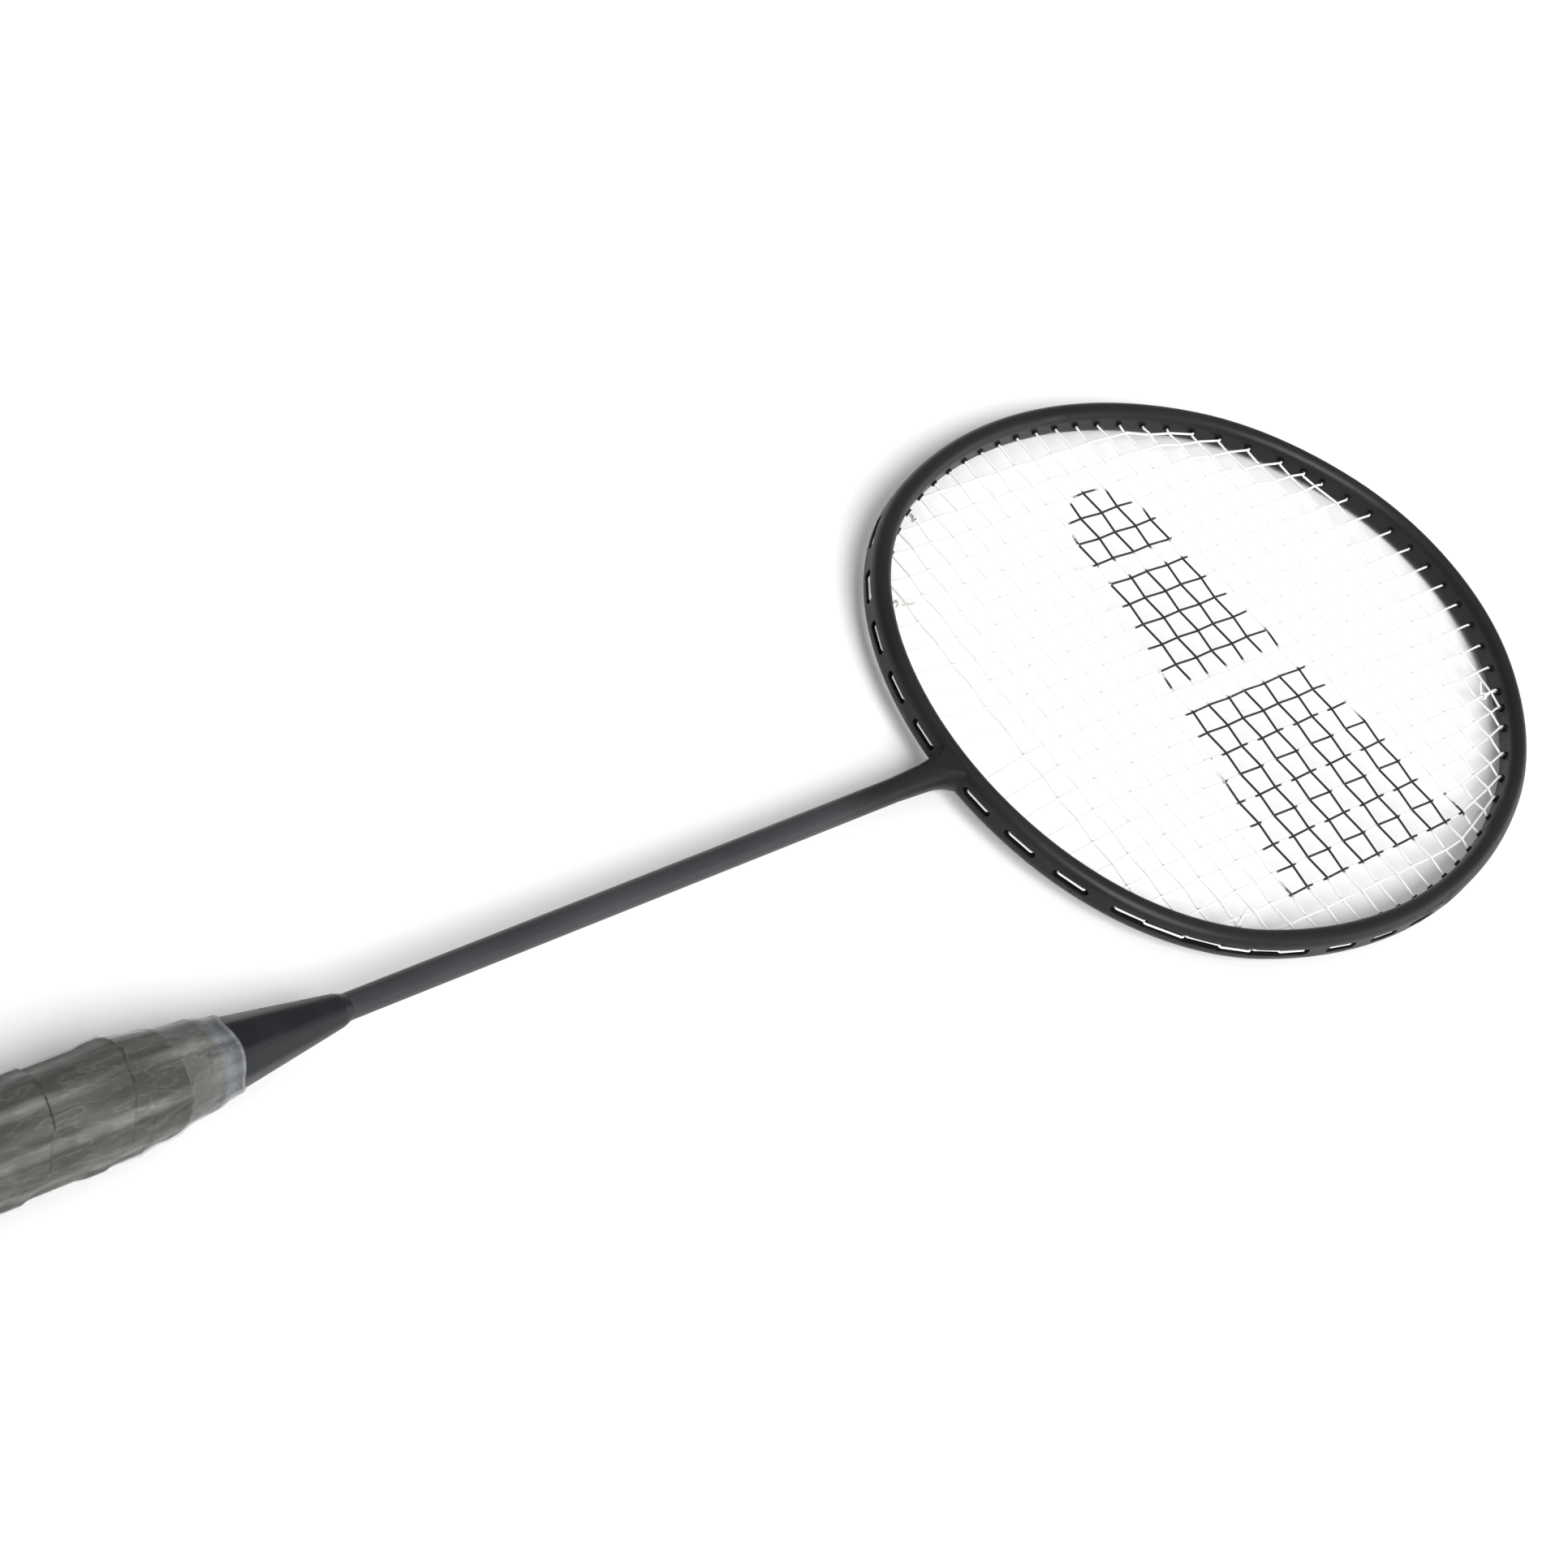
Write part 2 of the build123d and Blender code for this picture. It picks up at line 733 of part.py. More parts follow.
# ---------------------------------------------------------------- build
hoop_outer = full_ring(tube_width, tube_height)
hoop_cavity = full_ring(cavity_width, cavity_height, cavity_inset)
slots = [slot_between(first, second) for first, second in slot_pairs()]
cutters = [hole_cutter(hole) for hole in ALL_HOLES]
stem_clearance = rod_along_y(shaft_bore, shaft_end_y, throat_y)

joint_cover = make_joint_cover(hoop_outer, slots)
joint_insert = make_joint_insert()
head_frame = hoop_outer - hoop_cavity - slots - cutters - stem_clearance

save("head_frame", head_frame)
save("throat_joint_cover", joint_cover)
save("throat_joint_insert", joint_insert)
save("shaft", make_shaft())

groups = {
    "throat_grommets": [BOTTOM_HOLES[main] for main in MAINS if from_edge(main) not in throat_shared],
    "tip_grommets": [TOP_HOLES[main] for main in MAINS if from_edge(main) not in tip_shared],
}
for side, side_name in side_names.items():
    for zone, (start, end) in zones.items():
        groups[f"{side_name}_{zone}_grommets"] = [CROSS_HOLES[cross, side] for cross in range(start, end)]
for node, holes in groups.items():
    save(node, *[make_grommet(hole) for hole in holes])

save("main_string", make_string(main_route()))
save("cross_string", make_string(cross_route()))
save("string_knots", *[make_knot(tie) for tie in TIES])

cone_cap = make_cone_cap()
tacks = make_tacks()
staple_solid = make_staple()
handle_core = make_handle_core() - tacks - staple_solid
butt_cap = octagon_prism(butt_flats, 0.0, cap_thickness) - make_tacks(fit_gap)
sink_diameter = tack_head_diameter + 2 * fit_gap
butt_cap -= [rod_along_y(sink_diameter, 0.0, tack_sink, side * tack_spread) for side in SIDES]
save("cone_cap", cone_cap)
save("handle_core", handle_core)
save("butt_cap", butt_cap)
save("butt_cap_tacks", *tacks)
save("grip_staple", staple_solid)

finishing_tape = cone_sleeve(grip_front_y, finish_tape_end_y, 0.0, finish_tape_thickness)
bare_handle = handle_solid()
grip_tape = make_grip_tape([bare_handle, staple_solid])
grip_film = make_film([bare_handle])
save("grip_tape", grip_tape)
save("finishing_tape", finishing_tape)
save("grip_film", grip_film)
save("film_end_band", make_end_band([bare_handle, finishing_tape, grip_film]))
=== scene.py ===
import json
import math

import bpy
import numpy as np
from mathutils import Matrix, Vector, noise
from mathutils.bvhtree import BVHTree

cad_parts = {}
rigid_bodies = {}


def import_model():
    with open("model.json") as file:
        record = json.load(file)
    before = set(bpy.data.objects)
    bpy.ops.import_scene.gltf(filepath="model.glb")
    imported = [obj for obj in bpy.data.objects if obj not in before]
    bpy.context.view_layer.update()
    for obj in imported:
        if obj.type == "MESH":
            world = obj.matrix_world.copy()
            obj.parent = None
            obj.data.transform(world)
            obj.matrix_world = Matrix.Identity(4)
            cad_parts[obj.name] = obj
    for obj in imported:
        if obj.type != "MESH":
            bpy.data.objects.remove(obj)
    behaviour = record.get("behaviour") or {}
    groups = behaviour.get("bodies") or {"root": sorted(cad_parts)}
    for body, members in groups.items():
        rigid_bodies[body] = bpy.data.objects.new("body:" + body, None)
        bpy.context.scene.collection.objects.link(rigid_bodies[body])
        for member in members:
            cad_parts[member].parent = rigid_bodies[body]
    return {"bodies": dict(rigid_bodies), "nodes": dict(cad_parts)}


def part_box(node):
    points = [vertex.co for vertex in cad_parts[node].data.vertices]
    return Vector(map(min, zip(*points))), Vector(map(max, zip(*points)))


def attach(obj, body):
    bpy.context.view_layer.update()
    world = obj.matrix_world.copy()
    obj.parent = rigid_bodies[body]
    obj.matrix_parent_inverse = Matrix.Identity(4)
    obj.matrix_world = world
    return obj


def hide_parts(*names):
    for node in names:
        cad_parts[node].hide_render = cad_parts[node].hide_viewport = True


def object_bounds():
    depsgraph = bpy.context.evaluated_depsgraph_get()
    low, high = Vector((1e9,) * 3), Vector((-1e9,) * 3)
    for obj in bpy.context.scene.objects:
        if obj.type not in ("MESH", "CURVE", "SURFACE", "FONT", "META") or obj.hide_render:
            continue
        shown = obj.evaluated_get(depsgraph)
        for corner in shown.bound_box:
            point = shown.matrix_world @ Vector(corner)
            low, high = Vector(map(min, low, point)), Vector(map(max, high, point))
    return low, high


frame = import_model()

# Badminton racket.  Metres, in the frame of the CAD: origin at the centre of the butt face, +Y from the
# butt to the tip of the head, +Z square to the string bed.

cad_low, cad_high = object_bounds()
nodes = frame["nodes"]
MM = 0.001
TURN = 2 * math.pi

kept = set(nodes.values()) | set(frame["bodies"].values())
for thing in list(bpy.data.objects):
    if thing not in kept:
        bpy.data.objects.remove(thing)


# --- materials -------------------------------------------------------------------------------------


class Field:
    """A number that varies over a surface, built from math nodes."""

    def __init__(self, tree, socket):
        self.tree = tree
        self.socket = socket

    def feed(self, slot):
        self.tree.links.new(self.socket, slot)

    def math(self, operation, *others, clamp=False):
        node = self.tree.nodes.new("ShaderNodeMath")
        node.operation = operation
        node.use_clamp = clamp
        for slot, value in zip(node.inputs, (self, *others)):
            if isinstance(value, Field):
                value.feed(slot)
            else:
                slot.default_value = value
        return Field(self.tree, node.outputs[0])

    def __add__(self, other):
        return self.math("ADD", other)

    def __sub__(self, other):
        return self.math("SUBTRACT", other)

    def __mul__(self, other):
        return self.math("MULTIPLY", other)

    def __truediv__(self, other):
        return self.math("DIVIDE", other)

    def __abs__(self):
        return self.math("ABSOLUTE")

    def least(self, other):
        return self.math("MINIMUM", other)

    def most(self, other):
        return self.math("MAXIMUM", other)

    def flipped(self):
        return (self * -1.0) + 1.0

    def step(self, start, end):
        """0 below start and 1 above end, with a smooth rise between."""
        node = self.tree.nodes.new("ShaderNodeMapRange")
        node.interpolation_type = "SMOOTHSTEP"
        self.feed(node.inputs["Value"])
        node.inputs["From Min"].default_value = start
        node.inputs["From Max"].default_value = end
        return Field(self.tree, node.outputs["Result"])


class Surface:
    """A procedural material: a Principled shader fed by detail laid out in metres on the object."""

    def __init__(self, name, roughness, **constants):
        self.material = bpy.data.materials.new(name)
        self.material.use_nodes = True
        self.tree = self.material.node_tree
        self.shader = self.tree.nodes["Principled BSDF"]
        self.shader.inputs["Roughness"].default_value = roughness
        for key, value in constants.items():
            self.shader.inputs[key.replace("_", " ")].default_value = value
        coordinates = self.tree.nodes.new("ShaderNodeTexCoord")
        self.place = coordinates.outputs["Object"]
        split = self.tree.nodes.new("ShaderNodeSeparateXYZ")
        self.tree.links.new(self.place, split.inputs[0])
        self.x, self.y, self.z = (Field(self.tree, s) for s in split.outputs)

    def mapped(self, size, stretch):
        node = self.tree.nodes.new("ShaderNodeMapping")
        self.tree.links.new(self.place, node.inputs["Vector"])
        node.inputs["Scale"].default_value = [1 / (size * s) for s in stretch]
        return node.outputs["Vector"]

    def noise(self, size, stretch=(1, 1, 1), detail=3.0):
        """Noise from 0 to 1 in lumps of that size, stretched along the axes."""
        node = self.tree.nodes.new("ShaderNodeTexNoise")
        self.tree.links.new(self.mapped(size, stretch), node.inputs["Vector"])
        node.inputs["Scale"].default_value = 1.0
        node.inputs["Detail"].default_value = detail
        return Field(self.tree, node.outputs["Fac"])

    def cells(self, size):
        node = self.tree.nodes.new("ShaderNodeTexVoronoi")
        self.tree.links.new(self.mapped(size, (1, 1, 1)), node.inputs["Vector"])
        node.inputs["Scale"].default_value = 1.0
        return Field(self.tree, node.outputs["Distance"])

    def angle(self):
        """Turns round the handle's axis, from -0.5 to 0.5, zero at +Z and growing towards +X."""
        return self.x.math("ARCTAN2", self.z) / TURN

    def mix(self, amount, low, high):
        """The colour that goes from low to high; each is a colour or what mix() returned before."""
        node = self.tree.nodes.new("ShaderNodeMix")
        node.data_type = "RGBA"
        amount.feed(node.inputs["Factor"])
        for name, value in (("A", low), ("B", high)):
            slot = [s for s in node.inputs if s.name == name and s.type == "RGBA"][0]
            if isinstance(value, bpy.types.NodeSocket):
                self.tree.links.new(value, slot)
            else:
                slot.default_value = (*value, 1.0)
        return [s for s in node.outputs if s.type == "RGBA"][0]

    def paint(self, colour):
        self.tree.links.new(colour, self.shader.inputs["Base Color"])

    def vary(self, key, field):
        field.feed(self.shader.inputs[key])

    def bump(self, height, depth, strength=1.0):
        node = self.tree.nodes.new("ShaderNodeBump")
        node.inputs["Strength"].default_value = strength
        node.inputs["Distance"].default_value = depth
        height.feed(node.inputs["Height"])
        self.tree.links.new(node.outputs["Normal"], self.shader.inputs["Normal"])


JOINT_TONE = (0.0105, 0.0107, 0.0125)


def coating(name, dark, light, sheen_low, sheen_high, streaks, blend=None):
    """Satin sprayed coating: drifting tone, fine orange peel and a few hairline rubs.

    With blend, a start and an end along Y, it darkens to the tone of the throat joint.
    """
    s = Surface(name, sheen_low, Specular_IOR_Level=0.24)
    drift = s.noise(30 * MM, (1, 2, 1))
    peel = s.noise(0.9 * MM, detail=2.0)
    grain = s.noise(0.22 * MM, detail=2.0)
    rubs = s.noise(0.8 * MM, streaks).step(0.66, 0.76)
    tone = s.mix((drift * 0.65 + grain * 0.35).step(0.3, 0.7), dark, light)
    if blend:
        tone = s.mix(s.y.step(*blend), tone, JOINT_TONE)
    s.paint(s.mix(rubs * 0.28, tone, [min(1.0, 2.2 * c + 0.01) for c in light]))
    s.vary("Roughness", (drift * 0.6 + peel * 0.4) * (sheen_high - sheen_low) * 1.6 + sheen_low - 0.05)
    s.bump(peel * 0.7 + grain * 0.3, 0.02 * MM, 0.5)
    return s.material


def moulded(name, dark, light, sheen):
    """Moulded plastic with a fine spark-eroded grain."""
    s = Surface(name, sheen, Specular_IOR_Level=0.23)
    grain = s.cells(0.35 * MM)
    cloud = s.noise(6 * MM)
    s.paint(s.mix((grain * 0.5 + cloud * 0.6).step(0.2, 0.8), dark, light))
    s.vary("Roughness", cloud * 0.18 + sheen - 0.09)
    s.bump(grain, 0.03 * MM, 0.35)
    return s.material


def metal(name, colour, dull, sheen):
    s = Surface(name, sheen, Metallic=0.95)
    cast = s.noise(0.5 * MM, (1, 4, 1))
    s.paint(s.mix(cast.step(0.35, 0.7), dull, colour))
    s.vary("Roughness", cast * 0.25 + sheen - 0.1)
    s.bump(cast, 0.02 * MM, 0.4)
    return s.material


def timber(name):
    """Turned hardwood with growth rings along the handle and open pores."""
    s = Surface(name, 0.6)
    warp = s.noise(9 * MM, (1, 8, 1), 2.0) * 2.2
    rings = ((s.x * 0.8 + s.z * 0.6) / (1.9 * MM) + warp).math("SINE") * 0.5 + 0.5
    pores = s.noise(0.35 * MM, (1, 14, 1)).step(0.6, 0.72)
    grain = s.mix(rings, (0.50, 0.34, 0.19), (0.66, 0.49, 0.31))
    s.paint(s.mix(pores * 0.6, grain, (0.27, 0.17, 0.09)))
    s.vary("Roughness", pores * 0.2 + 0.55)
    s.bump(pores.flipped(), 0.05 * MM, 0.6)
    return s.material


# The ink on the strings is a plain shuttlecock outline that lies across the bed, cork to the left.
INK_CENTRE_Y = 553.6
CORK_CENTRE_X = -46.0
CORK_LENGTH = 23.0
CORK_HALF_WIDTH = 20.0
SKIRT_START_X = -37.0
SKIRT_END_X = 77.0
SKIRT_NECK = 19.0
SKIRT_MOUTH = 46.0
BAND_X = 7.0
BAND_HALF = 4.4
SPLIT_START_X = 27.0
SPLIT_PITCH = 17.92
SPLIT_HALF = 2.5


def string_gut(name):
    """White twisted string with the dark ink mark brushed through a stencil onto the bed."""
    s = Surface(name, 0.3, Specular_IOR_Level=0.5)
    u = s.x / MM
    v = s.y / MM - INK_CENTRE_Y
    ragged = (s.noise(1.1 * MM) - 0.5) * 1.6
    cork_u = (u - CORK_CENTRE_X) / CORK_LENGTH
    cork_v = v / CORK_HALF_WIDTH
    round_end = (cork_u * cork_u + cork_v * cork_v).math("SQRT").flipped() * CORK_HALF_WIDTH
    cork = round_end.least((u - CORK_CENTRE_X) * -1.0 + 3.0)
    widening = (SKIRT_MOUTH - SKIRT_NECK) / (SKIRT_END_X - SKIRT_START_X)
    half = (u - SKIRT_START_X) * widening + SKIRT_NECK
    skirt = (half - abs(v)).least(u - SKIRT_START_X).least((u - SKIRT_END_X) * -1.0)
    skirt = skirt.least(abs(u - BAND_X) - BAND_HALF)
    from_split = ((v / SPLIT_PITCH + 0.25).math("FRACT") - 0.5) * SPLIT_PITCH
    split = (abs(from_split) - SPLIT_HALF).most((u - SPLIT_START_X) * -1.0)
    inked = (cork.most(skirt.least(split)) + ragged).step(-0.5, 0.7)
    strand = s.noise(0.3 * MM, (2, 2, 1))
    thin = s.noise(5 * MM).step(0.25, 0.5)
    gut = s.mix(strand.step(0.3, 0.75), (0.80, 0.80, 0.77), (0.93, 0.93, 0.91))
    ink = s.mix((strand * 0.5 + thin * 0.5).flipped(), (0.006, 0.003, 0.009), (0.024, 0.012, 0.032))
    s.paint(s.mix(inked, gut, ink))
    s.vary("Roughness", inked * 0.2 + strand * 0.15 + 0.22)
    s.bump(strand, 0.02 * MM, 0.5)
    return s.material


# The wound strip: its pitch in millimetres, then shares of one turn, and the tone of the painted shadow
# in its creases.
GRIP_PITCH = 24.0
GRIP_PHASE = 0.825
OVERLAP = 0.20
SEAM_SHADOW_WIDTH = 0.045
SEAM_SHADOW_SOFTNESS = 0.01
SEAM_SHADOW_TONE = (0.014, 0.014, 0.012)
FACETS = 8


def helix(s):
    """How far the surface is through one turn of the wound strip, from 0 at the edge that shows to 1."""
    return (s.y / (GRIP_PITCH * MM) + s.angle() + GRIP_PHASE).math("FRACT")


def flat_highlight(s):
    """Painted highlight: broken light streaks along the middle of the handle's eight flats."""
    middle = ((s.angle() * (FACETS * TURN)).math("COSINE") * 0.5 + 0.5).step(0.66, 1.0)
    return middle * (s.noise(10 * MM, (1, 2.2, 1)).step(0.34, 0.60) * 0.8 + 0.2)


def seam_shadow_mask(s):
    """1 in the painted shadow along the crease at the strip's edge."""
    through = helix(s)
    return through.step(0.0, SEAM_SHADOW_WIDTH).flipped() * through.flipped().step(0.0, SEAM_SHADOW_SOFTNESS)


def wrap_leather(name):
    """Olive-grey polyurethane grip strip, embossed, with painted shadow in the overlap crease and
    painted highlights.
    """
    s = Surface(name, 0.62, Specular_IOR_Level=0.35)
    seam_shadow = seam_shadow_mask(s)
    highlight_streak = flat_highlight(s)
    cloud = s.noise(7 * MM, (1, 3, 1))
    fine = s.noise(0.7 * MM)
    pebble = s.cells(0.8 * MM)
    speckle = (cloud * 0.7 + fine * 0.3).step(0.3, 0.7)
    base = s.mix(speckle, (0.020, 0.0195, 0.0168), (0.040, 0.0387, 0.0335))
    # Painted highlight: the strip is lighter along the middle of its flats.
    with_highlight = s.mix(highlight_streak * 0.72, base, (0.115, 0.1125, 0.101))
    # Painted shadow: the crease at the strip's edge is darkened.
    s.paint(s.mix(seam_shadow * 0.95, with_highlight, SEAM_SHADOW_TONE))
    s.vary("Roughness", fine * 0.2 + 0.5)
    s.bump(pebble * 0.7 + fine * 0.3, 0.08 * MM, 0.5)
    return s.material


def vinyl(name):
    """Grey finishing tape with a faint stretch along its length."""
    s = Surface(name, 0.4, Specular_IOR_Level=0.5)
    cloud = s.noise(5 * MM, (1, 2, 1))
    lines = s.noise(0.5 * MM, (6, 1, 6))
    stretched = (cloud * 0.6 + lines * 0.4).step(0.3, 0.7)
    s.paint(s.mix(stretched, (0.045, 0.046, 0.043), (0.085, 0.087, 0.083)))
    s.vary("Roughness", lines * 0.2 + 0.32)
    s.bump(lines, 0.03 * MM, 0.4)
    return s.material


# The film whitens over this stretch of Y, by this much, and covers the painted shadow in the strip's
# creases by so much.
WHITENS = (0.140, 0.152)
WHITENING = 0.30
SEAM_SHADOW_COVER = 0.32


def clear_film(name, colour, pale, thin, thick, fade_in=None, wraps_grip=False):
    """Thin clouded film, whiter along painted highlight streaks on the handle's flats.

    With fade_in, a start and an end along Y, it fades in; with wraps_grip it follows the wound strip.
    """
    s = Surface(name, 0.3, Specular_IOR_Level=0.5, IOR=1.48)
    highlight_streak = flat_highlight(s)
    cloud = s.noise(6 * MM, (1, 4, 1))
    crease = abs(s.noise(3.0 * MM, (1, 5, 1)) - 0.5).step(0.0, 0.04).flipped()
    fine = s.noise(0.8 * MM, (1, 2, 1))
    # Painted highlight: the streaks along the flats whiten the film and make it more opaque; clouds and
    # creases are the film's own.
    milk_and_highlight = cloud.step(0.35, 0.7) * 0.45 + highlight_streak * 0.55 + crease * 0.30
    milk_and_highlight = milk_and_highlight.math("MULTIPLY", 1.0, clamp=True)
    tone = s.mix(milk_and_highlight, colour, pale)
    cover = milk_and_highlight * (thick - thin) + fine * 0.06 + thin
    if fade_in:
        cover = cover * s.y.step(*fade_in)
    if wraps_grip:
        # Painted shadow in the strip's creases: the film is darker and more opaque there, back from
        # where it whitens.
        seam_shadow = seam_shadow_mask(s) * s.y.step(*WHITENS).flipped() * cloud.step(0.36, 0.58)
        tone = s.mix(seam_shadow, tone, SEAM_SHADOW_TONE)
        cover = cover + s.y.step(*WHITENS) * cloud * WHITENING + seam_shadow * SEAM_SHADOW_COVER
    s.paint(tone)
    s.vary("Alpha", cover)
    s.vary("Roughness", fine * 0.25 + 0.18)
    s.bump(crease * 0.6 + fine * 0.4, 0.12 * MM, 0.5)
    return s.material


def studio_floor(name):
    s = Surface(name, 0.85, Specular_IOR_Level=0.1)
    s.paint(s.mix(s.noise(0.4), (0.93, 0.93, 0.93), (0.96, 0.96, 0.96)))
    return s.material


# The shaft's coating blends into the joint's tone over this stretch of Y.
SHAFT_BLEND = (0.368, 0.397)
FRAME_COAT = coating(
    "satin_coating", (0.0075, 0.0077, 0.0095), (0.0145, 0.0147, 0.017), 0.36, 0.5, (1, 9, 1)
)
SHAFT_COAT = coating(
    "shaft_coating", (0.026, 0.027, 0.030), (0.042, 0.043, 0.047), 0.36, 0.5, (1, 30, 1), SHAFT_BLEND
)
CONE_COAT = moulded("cone_plastic", (0.0050, 0.0055, 0.0075), (0.0110, 0.0117, 0.0145), 0.40)
GROMMETS = moulded("grommet_nylon", (0.004, 0.004, 0.0045), (0.009, 0.009, 0.010), 0.45)
CAP = moulded("cap_plastic", (0.012, 0.012, 0.014), (0.026, 0.026, 0.029), 0.5)
ALLOY = metal("insert_alloy", (0.62, 0.63, 0.65), (0.40, 0.41, 0.43), 0.38)
STEEL = metal("plated_steel", (0.58, 0.58, 0.57), (0.36, 0.36, 0.35), 0.32)
WOOD = timber("handle_wood")
GUT = string_gut("string_gut")
GRIP = wrap_leather("grip_wrap_leather")
TAPE = vinyl("finishing_vinyl")
BAND_FADE = (0.1485, 0.1515)
FILM = clear_film(
    "clear_film", (0.18, 0.178, 0.165), (0.42, 0.415, 0.39), 0.04, 0.21, wraps_grip=True
)
BAND = clear_film(
    "milky_band", (0.17, 0.185, 0.205), (0.37, 0.39, 0.41), 0.24, 0.42, BAND_FADE
)
RIM = clear_film("rolled_rim", (0.20, 0.21, 0.22), (0.38, 0.39, 0.39), 0.34, 0.55)


# --- pieces that come straight from the CAD ----------------------------------------------------------

FINISHES = {
    "head_frame": (FRAME_COAT, "frame_coating"),
    "throat_joint_cover": (FRAME_COAT, "frame_coating"),
    "throat_joint_insert": (ALLOY, "insert_alloy"),
    "shaft": (SHAFT_COAT, "shaft_coating"),
    "handle_core": (WOOD, "handle_wood"),
    "butt_cap": (CAP, "cap_plastic"),
    "butt_cap_tacks": (STEEL, "tack_steel"),
    "grip_staple": (STEEL, "tack_steel"),
    "main_string": (GUT, "string_white"),
    "cross_string": (GUT, "string_white"),
    "string_knots": (GUT, "string_white"),
}
for name in nodes:
    if name.endswith("grommets"):
        FINISHES[name] = (GROMMETS, "grommet_plastic")


def finish_piece(piece, material):
    piece.data.materials.clear()
    piece.data.materials.append(material)
    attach(piece, "root")


for name, (material, slot) in FINISHES.items():
    finish_piece(nodes[name], material)


# --- grip, finishing tape, film, end band and cone ---------------------------------------------------

# Each sleeve is a grid of rows along the handle and angles round it.
AROUND = 256
ROW_STEP = 0.45 * MM
REACH = 0.1
PROBE_INSET = 0.02 * MM
angles = np.linspace(0, TURN, AROUND, endpoint=False)
across = np.stack([np.sin(angles), np.cos(angles)], axis=1)


def rows_between(low, high):
    """Places along the handle for each row and angle; either end may change round the handle."""
    count = max(3, round(float(np.max(high) - np.min(low)) / ROW_STEP) + 1)
    share = np.linspace(0, 1, count)[:, None]
    return low + share * (high - low) * np.ones((1, AROUND))


def skin(name, rows):
    """The node's outer radius at each row and angle."""
    mesh = nodes[name].data
    tree = BVHTree.FromPolygons([v.co for v in mesh.vertices], [p.vertices for p in mesh.polygons])
    low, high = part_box(name)
    found = np.zeros(rows.shape)
    for (i, j), y in np.ndenumerate(np.clip(rows, low.y + PROBE_INSET, high.y - PROBE_INSET)):
        x, z = across[j]
        hit = tree.ray_cast(Vector((x * REACH, y, z * REACH)), Vector((-x, 0, -z)))
        found[i, j] = math.hypot(hit[0].x, hit[0].z)
    return found


def eased(radii, width):
    """Radii averaged over neighbours on both sides, which rounds the corners of the octagon."""
    total = sum(np.roll(radii, k, axis=1) for k in range(-width, width + 1))
    return total / (2 * width + 1)


def lumps(rows, round_scale, along_scale, seed):
    """Smooth noise from -1 to 1 on the grid of rows and angles."""
    found = np.zeros(rows.shape)
    for (i, j), y in np.ndenumerate(rows):
        x, z = across[j]
        found[i, j] = noise.noise(Vector((x * round_scale + seed, y * along_scale, z * round_scale)))
    return found


def winding(rows):
    """How far each point is through one turn of the wound strip, from 0 at the edge that shows to 1."""
    return (rows / (GRIP_PITCH * MM) + angles / TURN + GRIP_PHASE) % 1.0


def rise(through, sharp):
    """Height of the overlap, 1 just before the strip's edge and 0 away from the strip below."""
    up = np.clip((1 - through) / sharp, 0, 1)
    down = np.clip((1 - through - OVERLAP) / OVERLAP, 0, 1)
    return up * up * (3 - 2 * up) * (1 - down * down * (3 - 2 * down))


def sleeve(name, rows, outer, inner, material, slot, *replaced):
    """A closed sleeve between two grids of radii."""
    count = len(rows)
    points = []
    for radii in (outer, inner):
        for (i, j), radius in np.ndenumerate(radii):
            points.append((across[j][0] * radius, rows[i, j], across[j][1] * radius))
    faces = []
    shift = count * AROUND
    for i in range(count - 1):
        for j in range(AROUND):
            a = i * AROUND + j
            b = i * AROUND + (j + 1) % AROUND
            faces.append((a, b, b + AROUND, a + AROUND))
            faces.append((a + shift, a + AROUND + shift, b + AROUND + shift, b + shift))
    for j in range(AROUND):
        a, b = j, (j + 1) % AROUND
        faces.append((a, a + shift, b + shift, b))
        c, d = (count - 1) * AROUND + a, (count - 1) * AROUND + b
        faces.append((c, d, d + shift, c + shift))
    mesh = bpy.data.meshes.new(name)
    mesh.from_pydata(points, [], faces)
    mesh.polygons.foreach_set("use_smooth", [True] * len(faces))
    mesh.validate()
    piece = bpy.data.objects.new(name, mesh)
    bpy.context.scene.collection.objects.link(piece)
    finish_piece(piece, material)
    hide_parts(*replaced)
    return piece


def ends_tucked(rows, depth, reach):
    """How far the surface turns in near both ends, so that they are rounded and not cut square."""
    near = np.minimum(rows - rows[0], rows[-1] - rows)
    return depth * np.clip(1 - near / reach, 0, 1) ** 2


# The strip and the film over it step up at each overlap, and sink a little between.
OVERLAP_STEP = 0.55 * MM
STRIP_WALL = 0.95 * MM
STRIP_SINK = 0.30 * MM
STRIP_GRAIN = 0.05 * MM
tape_low, tape_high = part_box("grip_tape")
tape_rows = rows_between(tape_low.y, tape_high.y)
tape_base = eased(skin("grip_tape", tape_rows), 4)
tape_relief = rise(winding(tape_rows), 0.02) * OVERLAP_STEP - STRIP_SINK
tape_grain = lumps(tape_rows, 7.0, 420.0, 3.0) * STRIP_GRAIN
tape_outer = tape_base + tape_relief + tape_grain - ends_tucked(tape_rows, 0.4 * MM, 1.2 * MM)
tape_inner = tape_base - STRIP_WALL
sleeve("grip_wrap", tape_rows, tape_outer, tape_inner, GRIP, "grip_polyurethane", "grip_tape")

FINISH_WALL = 0.35 * MM
FINISH_LUMPS = 0.06 * MM
finish_low, finish_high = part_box("finishing_tape")
finish_rows = rows_between(finish_low.y, finish_high.y)
finish_base = eased(skin("finishing_tape", finish_rows), 2)
finish_outer = finish_base + lumps(finish_rows, 6.0, 500.0, 9.0) * FINISH_LUMPS
finish_outer = finish_outer - ends_tucked(finish_rows, 0.15 * MM, 0.6 * MM)
finish_inner = finish_base - FINISH_WALL
sleeve("end_tape", finish_rows, finish_outer, finish_inner, TAPE, "tape_vinyl", "finishing_tape")

